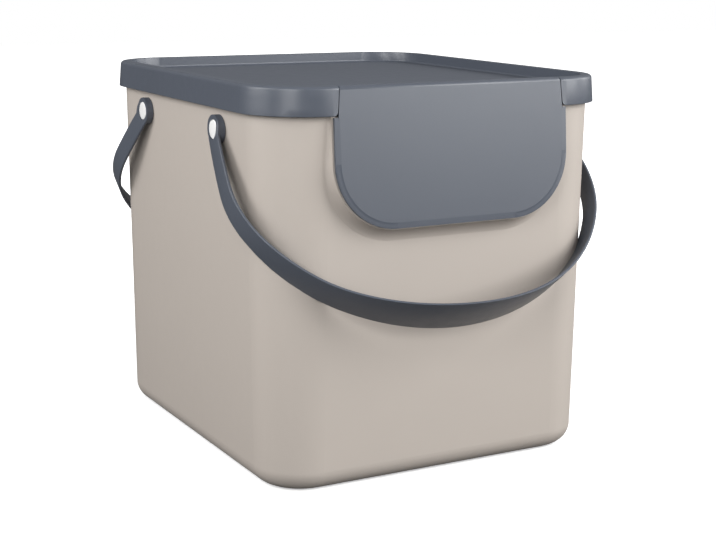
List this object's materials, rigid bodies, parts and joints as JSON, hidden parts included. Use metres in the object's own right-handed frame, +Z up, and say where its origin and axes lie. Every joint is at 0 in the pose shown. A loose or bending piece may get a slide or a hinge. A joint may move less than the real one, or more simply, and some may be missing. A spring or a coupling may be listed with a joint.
{
  "type": "recycling bin",
  "caption": "Stackable recycling bin with drafted rectangular tub, lift-off tray lid, top-hinged front flap and two swinging bail handles on studs.",
  "frame": {"origin": "on the floor under the centre of the tub, lid closed, flap hanging shut and both handles down", "axes": "+Z up, -Y towards the flap at the front, +X to the right seen from the front"},
  "size_m": [0.358, 0.4894, 0.34],
  "materials": {
    "tub_plastic": "fine matte moulded texture",
    "slate_plastic": "satin moulded",
    "white_plastic": "smooth moulded"
  },
  "bodies": {
    "tub": {"tub": "tub_plastic", "stud_front_left": "white_plastic", "stud_front_right": "white_plastic", "stud_rear_left": "white_plastic", "stud_rear_right": "white_plastic", "cap_front_left": "white_plastic", "cap_front_right": "white_plastic", "cap_rear_left": "white_plastic", "cap_rear_right": "white_plastic"},
    "lid": {"lid": "slate_plastic"},
    "flap": {"flap": "slate_plastic"},
    "front_handle": {"front_handle": "slate_plastic"},
    "rear_handle": {"rear_handle": "slate_plastic"}
  },
  "joints": [
    {"name": "lid_lift", "type": "slide", "parent": "tub", "child": "lid", "axis": [0, 0, 1], "range_m": [0, 0.28]},
    {"name": "flap_hinge", "type": "hinge", "parent": "lid", "child": "flap", "pos_m": [0, -0.18537, 0.3364], "axis": [-1, 0, 0], "range_deg": [0, 165]},
    {"name": "front_handle_swing", "type": "hinge", "parent": "tub", "child": "front_handle", "pos_m": [0, -0.083, 0.298], "axis": [-1, 0, 0], "range_deg": [0, 152.5]},
    {"name": "rear_handle_swing", "type": "hinge", "parent": "tub", "child": "rear_handle", "pos_m": [0, 0.083, 0.298], "axis": [1, 0, 0], "range_deg": [0, 152.5]}
  ]
}
